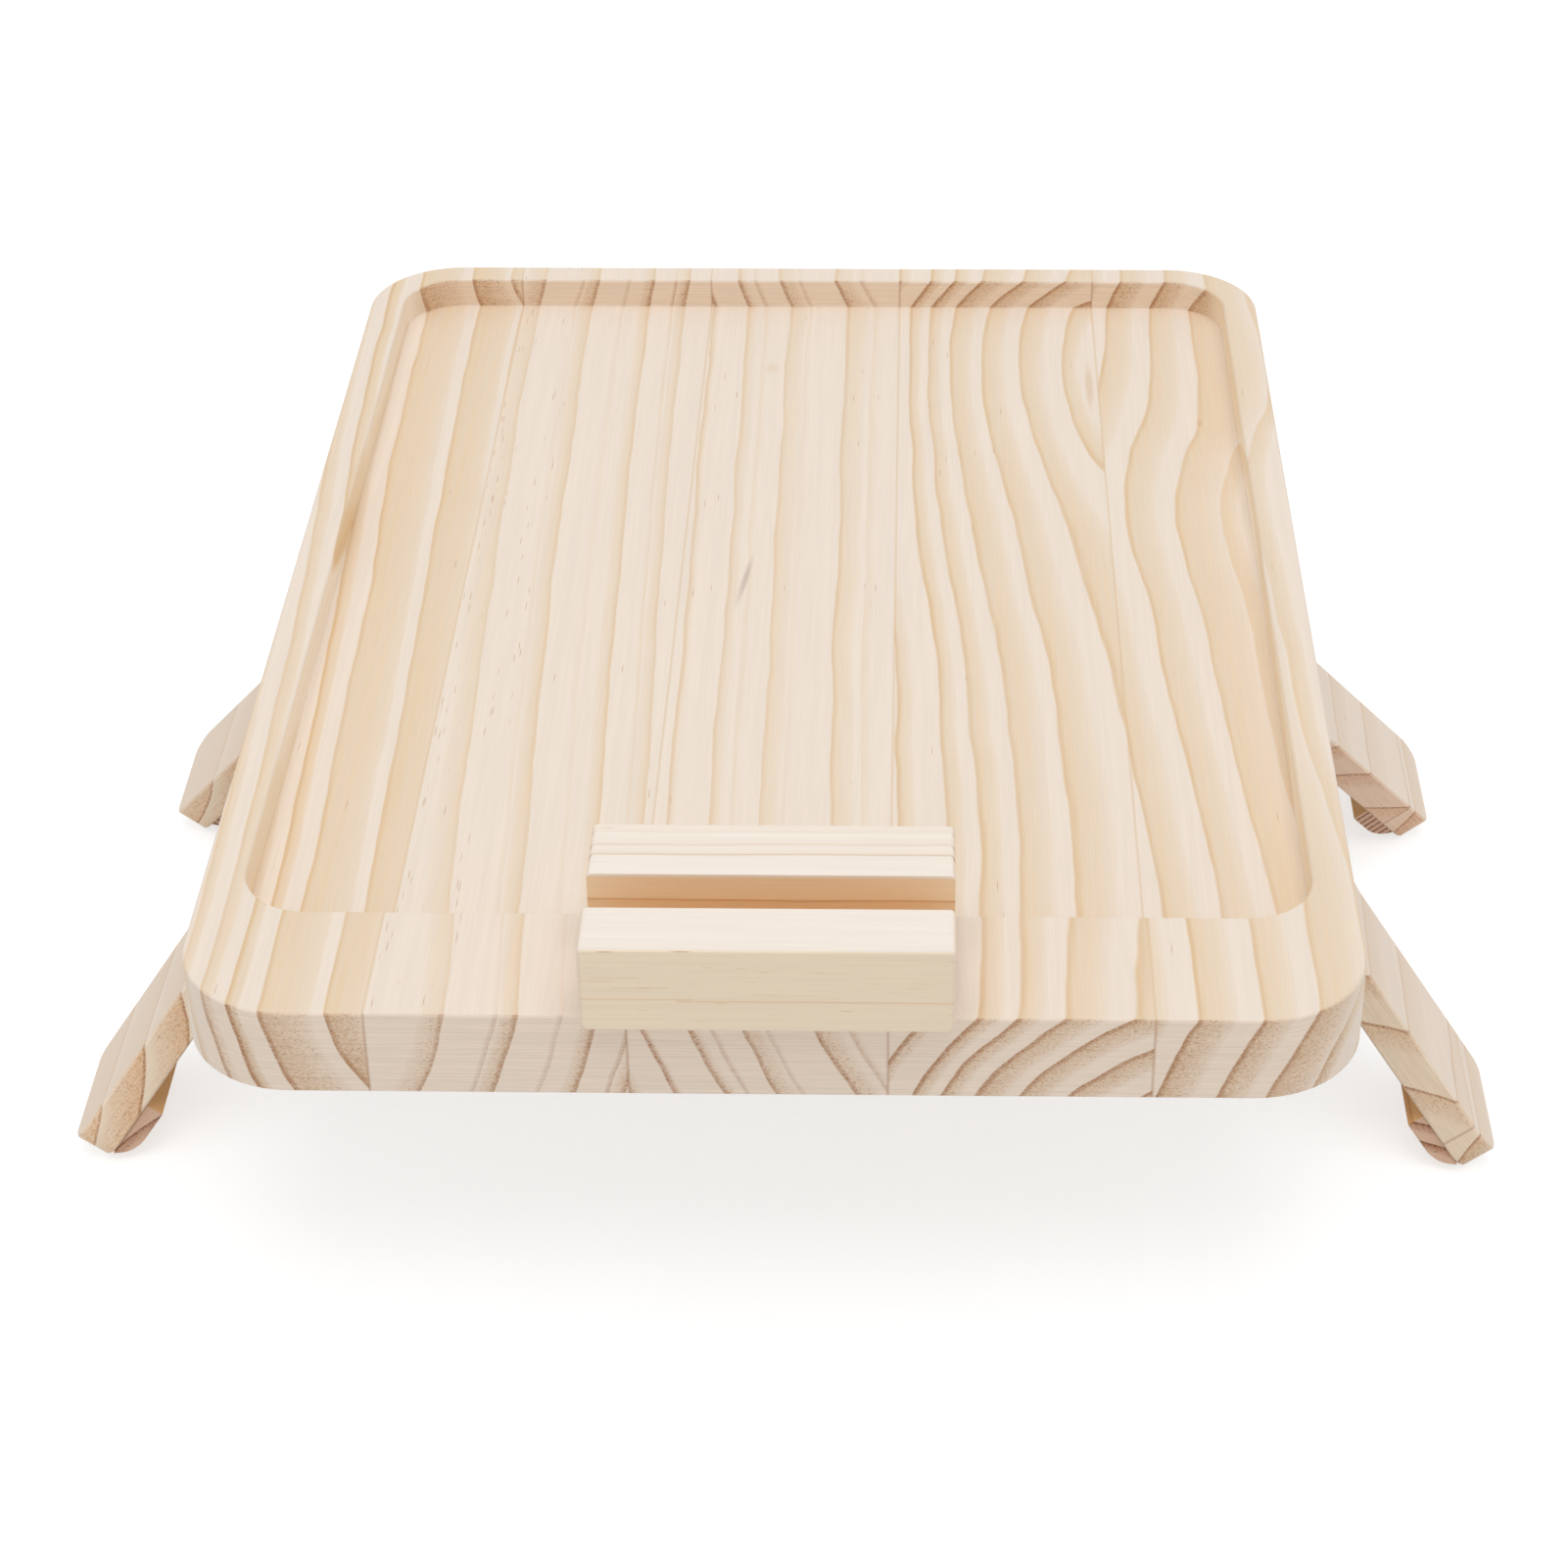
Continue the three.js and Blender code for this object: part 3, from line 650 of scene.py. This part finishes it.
# The right wing's foot is a second board, glued on this far down the wing.
FOOT_SEAM = 79.7
WINGS = {
    "right": dict(
        pith=(199.5, -143),
        rings=[(187.0, 7.0, 0.4, 0.5), (201.9, 7.0, 0.4, 0.75), (217.1, 7.0, 0.45, 0.75),
               (230.0, 6.0, 0.5, 0.6), (243.0, 6.0, 0.4, 0.5)],
        joined=(FOOT_SEAM, (160, 33), [(68.0, 5.0, 0.4, 0.5), (79.9, 7.0, 0.6, 0.7)]),
        drift=[(0, [(-210, -7), (-90, 0), (45, 6.5), (210, 13)])],
        seams=[FOOT_SEAM], painted_end_shade=[CUTOUT_SHADE], end=WING_END, seed=61.0),
    "left": dict(
        pith=(103, 66),
        rings=[(48.0, 8.0, 0.5, 0.5), (59.2, 9.0, 0.5, 0.6), (69.9, 10.5, 0.65, 0.8),
               (81.8, 10.5, 0.6, 0.7), (93.0, 8.0, 0.5, 0.5), (104.0, 8.0, 0.5, 0.5),
               (116.0, 8.0, 0.5, 0.5)],
        drift=[(0, [(-210, -17), (-50, -9), (90, 0), (210, 8)])],
        end=LEFT_END, seed=73.0),
}
# The grip blocks: many fine rings that stand square to the board at the rear, and slant in front.
BLOCKS = {
    "right_front": dict(pith=(128, -50), rings=[
        (60.5, 2.6, 0.8, 0.7), (65.5, 2.6, 0.9, 0.8), (70.5, 2.6, 0.9, 0.8),
        (75.5, 2.6, 0.8, 0.7)]),
    "left_front": dict(pith=(104, -65), rings=[
        (61.0, 3.0, 0.5, 0.5), (66.0, 3.0, 0.6, 0.6), (71.0, 3.0, 0.6, 0.6)]),
    "right_rear": dict(pith=(150, 4), rings=[
        (62.5 + 2.2 * i, 1.3, 0.8, 0.95) for i in range(8)]),
    "left_rear": dict(pith=(149, 6), rings=[
        (61.5 + 2.4 * i, 1.4, 0.8, 0.9) for i in range(8)]),
}


def joint_place(name):
    joint = next(j for j in frame["joints"] if j["name"] == name)
    return Vector(joint["pos_m"])


def wing_pieces():
    for side, turn in (("right", 0.0), ("left", math.pi)):
        pin = joint_place(side + "_wing_fold")
        rotation = Matrix.Rotation(turn, 3, "Z") @ Matrix.Rotation(SPLAY, 3, "Y")
        mapping = to_board(pin, rotation.to_euler("XYZ"))
        wood = board(side + "_wing_pine", mapping, face=WING_FACE, line_width=THIN_LINE,
                     **WINGS[side])
        piece = eased(side + "_wing", WING_EDGES)
        dress(piece, wood)
        for end, seed in (("front", 115.0), ("rear", 108.0)):
            node = f"{side}_{end}_grip_block"
            grip = board(node + "_pine", mapping, face=GRIP_SHADED_FACE, end=GRIP_SHADED_END,
                         line_width=THIN_LINE, ripple=0.15, seed=seed,
                         **BLOCKS[f"{side}_{end}"])
            block = eased(node, BLOCK_EDGES)
            dress(block, grip)


HOLDER_FACE = (srgb(244, 233, 221), srgb(236, 219, 198), srgb(220, 190, 156))
# Tints in the holder's own frame, from its pivot with the grain along Y and its front at -X:
# painted orange bounce light on the slot's walls and painted shade at the slot's foot, a tan
# planed front, and the dark lines of resin canals on it.
SLOT_BOUNCE_LIGHT = ((-9.9, -50, 7.6), (4.5, 50, 24.6), (1.04, 0.86, 0.62))
SLOT_FOOT_SHADE = ((-9.9, -50, 6.0), (4.5, 50, 18.0), (0.93, 0.88, 0.82))
HOLDER_FRONT = ((-28, -50, -1), (-26.3, 50, 25.0), (1.0, 0.925, 0.79))
FRONT_LINES = [
    ((-28, -50, 9.3), (-26.3, 22, 9.8), (0.91, 0.82, 0.72)),
    ((-28, 18, 9.8), (-26.3, 50, 10.4), (0.95, 0.89, 0.82)),
    ((-28, -12, 11.7), (-26.3, 4, 11.8), (0.90, 0.80, 0.70)),
    ((-28, 24, 13.6), (-26.3, 38, 13.7), (0.84, 0.68, 0.54)),
    ((-28, 37, 15.5), (-26.3, 45, 15.6), (0.80, 0.62, 0.48)),
    ((-28, 31, 16.5), (-26.3, 43, 16.6), (0.84, 0.68, 0.54)),
    ((-28, -20, 18.4), (-26.3, -12, 18.5), (0.90, 0.80, 0.70)),
]
HOLDER = dict(
    pith=(88.9, -67.6),
    rings=[(114.3, 3.0, 0.08, 0.15), (117.7, 2.6, 0.1, 0.5), (120.4, 2.2, 0.15, 0.85)],
    dashed=[(-28, -26.4, 0.08)], tones_and_painted_light=[SLOT_BOUNCE_LIGHT, SLOT_FOOT_SHADE, HOLDER_FRONT, *FRONT_LINES],
    ripple=0.2, seed=88.6)


def holder_piece():
    pivot = joint_place("holder_swivel")
    mapping = to_board(pivot, Euler((0, 0, math.pi / 2)))
    wood = board("holder_pine", mapping, face=HOLDER_FACE, end_axis="X", line_width=THIN_LINE,
                 **HOLDER)
    piece = eased("phone_holder", HOLDER_EDGES)
    dress(piece, wood)


# The steel's edges are rounded by this radius in millimetres from this angle in degrees on.
STEEL_RADIUS = 0.12
STEEL_ANGLE = 50


def metal_pieces():
    """The hinges, screws, pins and washers are the CAD's own, with a finish and soft edges."""
    steel = zinc()
    for node, source in NODES.items():
        if slot_of(node) == "zinc_steel":
            dress(source, steel)
            rounded = source.modifiers.new("soft edges", "BEVEL")
            rounded.width = STEEL_RADIUS * MM
            rounded.segments = EDGE_SEGMENTS
            rounded.limit_method = "ANGLE"
            rounded.angle_limit = math.radians(STEEL_ANGLE)
            rounded.harden_normals = True


def camera():
    data = bpy.data.cameras.new("camera")
    data.sensor_width = SENSOR
    data.lens = SENSOR * FOCAL_PIXELS / IMAGE_SIZE
    data.shift_x = (IMAGE_SIZE / 2 - CENTRE_PIXEL) / IMAGE_SIZE
    data.clip_start = CAMERA_CLIP
    made = bpy.data.objects.new("camera", data)
    bpy.context.scene.collection.objects.link(made)
    tilt = Matrix.Rotation(math.radians(90 - CAMERA_PITCH), 4, "X")
    yaw = Matrix.Rotation(math.radians(CAMERA_YAW), 4, "Z")
    roll = Matrix.Rotation(math.radians(CAMERA_ROLL), 4, "Z")
    made.matrix_world = Matrix.Translation(TRAY_ORIGIN + CAMERA_PLACE) @ yaw @ tilt @ roll
    bpy.context.scene.camera = made


def seen_straight(g):
    """1 for rays that show the floor or world itself, to the camera, in gloss or through glass."""
    path = g.node("ShaderNodeLightPath").outputs
    shown = g.math("MAXIMUM", path["Is Camera Ray"], path["Is Glossy Ray"])
    return g.math("MAXIMUM", shown, path["Is Transmission Ray"])


FLOOR_SIZE = 8.0
FLOOR_DROP = 0.0002
FLOOR_GLOW = 0.68
FLOOR_SHADE = 0.46
FLOOR_BOUNCE = 0.85


def floor():
    made = bmesh.new()
    bmesh.ops.create_grid(made, x_segments=1, y_segments=1, size=FLOOR_SIZE / 2)
    mesh = bpy.data.meshes.new("floor")
    made.to_mesh(mesh)
    made.free()
    plane = bpy.data.objects.new("floor", mesh)
    plane.location.z = -FLOOR_DROP
    bpy.context.scene.collection.objects.link(plane)
    material, g = new_material("floor_white")
    shown = seen_straight(g)
    glow = g.node("ShaderNodeEmission", {"Color": WHITE, "Strength": FLOOR_GLOW})
    shade = g.node("ShaderNodeBsdfDiffuse", {"Color": grey(FLOOR_SHADE)})
    both = g.node("ShaderNodeAddShader")
    g.tree.links.new(glow.outputs[0], both.inputs[0])
    g.tree.links.new(shade.outputs[0], both.inputs[1])
    plain = g.node("ShaderNodeBsdfDiffuse", {"Color": grey(FLOOR_BOUNCE)})
    choice = g.node("ShaderNodeMixShader", {"Fac": shown})
    g.tree.links.new(plain.outputs[0], choice.inputs[1])
    g.tree.links.new(both.outputs[0], choice.inputs[2])
    output = g.node("ShaderNodeOutputMaterial")
    g.tree.links.new(choice.outputs[0], output.inputs["Surface"])
    mesh.materials.append(material)


WORLD_LEVEL = 0.66


def world():
    made = bpy.data.worlds.new("studio")
    bpy.context.scene.world = made
    made.use_nodes = True
    g = Graph(made.node_tree)
    shown = seen_straight(g)
    level = g.between(shown, 0.0, 1.0, WORLD_LEVEL, 1.0, kind="LINEAR")
    back = g.node("ShaderNodeBackground", {"Color": WHITE, "Strength": level})
    output = g.node("ShaderNodeOutputWorld")
    g.tree.links.new(back.outputs[0], output.inputs["Surface"])


LAMP_PLACE = Vector((0.1, -0.55, 3.0))
LAMP_TARGET = Vector((0, 0, 0.08))
LAMP_SIZE = 2.6
LAMP_POWER = 36


def lamp():
    """One large soft lamp overhead, a little in front of the tray."""
    data = bpy.data.lights.new("overhead", "AREA")
    data.shape = "RECTANGLE"
    data.size = LAMP_SIZE
    data.size_y = LAMP_SIZE
    data.energy = LAMP_POWER
    made = bpy.data.objects.new("overhead", data)
    bpy.context.scene.collection.objects.link(made)
    made.location = LAMP_PLACE
    made.rotation_euler = (LAMP_TARGET - LAMP_PLACE).to_track_quat("-Z", "Y").to_euler()


stave_pieces()
wing_pieces()
holder_piece()
metal_pieces()
camera()
floor()
world()
lamp()
bpy.context.scene.view_settings.view_transform = "Standard"
